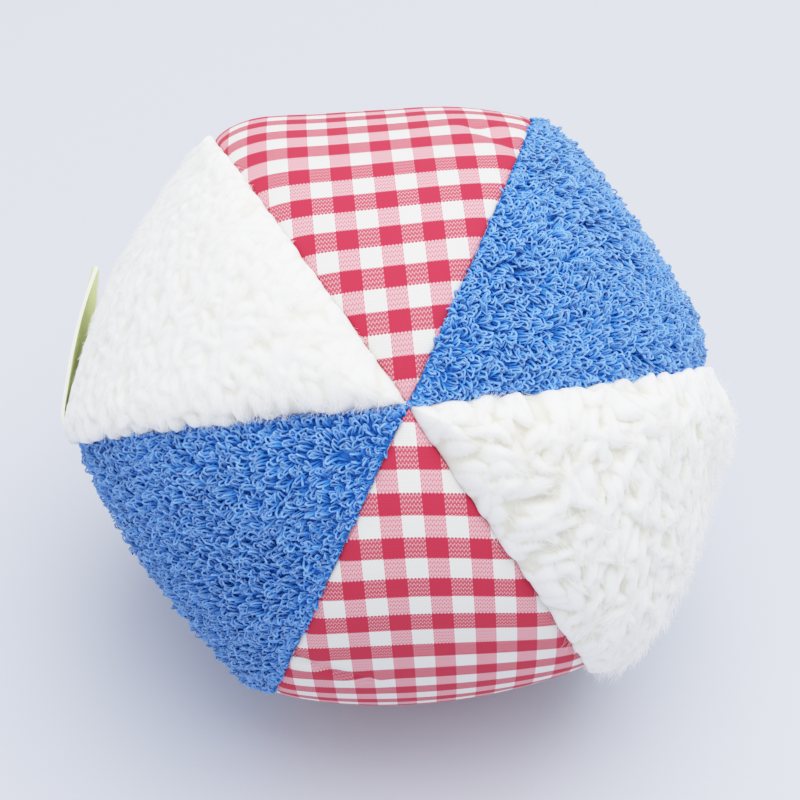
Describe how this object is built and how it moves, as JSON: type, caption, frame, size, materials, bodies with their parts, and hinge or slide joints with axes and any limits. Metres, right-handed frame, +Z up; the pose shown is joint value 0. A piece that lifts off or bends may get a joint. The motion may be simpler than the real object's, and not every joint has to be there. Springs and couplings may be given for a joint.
{
  "type": "rattle ball",
  "caption": "Soft sewn baby ball of gingham, terry and plush gores, stuffed with fibre round a sealed rattle capsule of loose pellets, with a folded ribbon label in one seam.",
  "frame": {"origin": "on the floor, in the middle of the flat that the ball rests on, straight below the ball's centre", "axes": "+Z up as the ball lies; the front pole, where the gores meet, looks forwards along -Y and up at 45 degrees; +X to the right as seen from the front"},
  "size_m": [0.131, 0.1156, 0.115],
  "materials": {
    "gingham_cloth": "matte",
    "terry_cloth": "matte",
    "plush_cloth": "matte",
    "sewing_thread": "matte",
    "fibre_stuffing": "matte",
    "capsule_plastic": "satin",
    "pellet_plastic": "gloss",
    "label_ribbon": "satin"
  },
  "bodies": {
    "ball": {"terry_panel_right": "terry_cloth", "gingham_panel_upper": "gingham_cloth", "plush_panel_left": "plush_cloth", "terry_panel_left": "terry_cloth", "gingham_panel_lower": "gingham_cloth", "plush_panel_right": "plush_cloth", "seam_thread_1": "sewing_thread", "seam_thread_2_front": "sewing_thread", "closing_thread": "sewing_thread", "seam_thread_2_rear": "sewing_thread", "seam_thread_3": "sewing_thread", "seam_thread_4": "sewing_thread", "seam_thread_5": "sewing_thread", "seam_thread_6": "sewing_thread", "pole_tack_front": "sewing_thread", "pole_tack_rear": "sewing_thread", "stuffing_front": "fibre_stuffing", "stuffing_rear": "fibre_stuffing", "rattle_capsule_lower": "capsule_plastic", "rattle_capsule_upper": "capsule_plastic"},
    "label": {"side_label": "label_ribbon"},
    "pellet_1": {"rattle_pellet_1": "pellet_plastic"},
    "pellet_2": {"rattle_pellet_2": "pellet_plastic"},
    "pellet_3": {"rattle_pellet_3": "pellet_plastic"},
    "pellet_4": {"rattle_pellet_4": "pellet_plastic"},
    "pellet_5": {"rattle_pellet_5": "pellet_plastic"},
    "pellet_6": {"rattle_pellet_6": "pellet_plastic"}
  },
  "joints": [
    {"name": "label_flap", "type": "hinge", "parent": "ball", "child": "label", "pos_m": [-0.06137, -0.00349, 0.05377], "axis": [0, -0.7071, 0.7071], "range_deg": [0, 135], "stiffness_Nm_per_rad": 0.001},
    {"name": "pellet_1_hop", "type": "slide", "parent": "ball", "child": "pellet_1", "axis": [0, 0, 1], "range_m": [0, 0.0217]},
    {"name": "pellet_2_hop", "type": "slide", "parent": "ball", "child": "pellet_2", "axis": [0, 0, 1], "range_m": [0, 0.0174]},
    {"name": "pellet_3_hop", "type": "slide", "parent": "ball", "child": "pellet_3", "axis": [0, 0, 1], "range_m": [0, 0.0174]},
    {"name": "pellet_4_hop", "type": "slide", "parent": "ball", "child": "pellet_4", "axis": [0, 0, 1], "range_m": [0, 0.0174]},
    {"name": "pellet_5_hop", "type": "slide", "parent": "ball", "child": "pellet_5", "axis": [0, 0, 1], "range_m": [0, 0.0174]},
    {"name": "pellet_6_hop", "type": "slide", "parent": "ball", "child": "pellet_6", "axis": [0, 0, 1], "range_m": [0, 0.0174]}
  ]
}
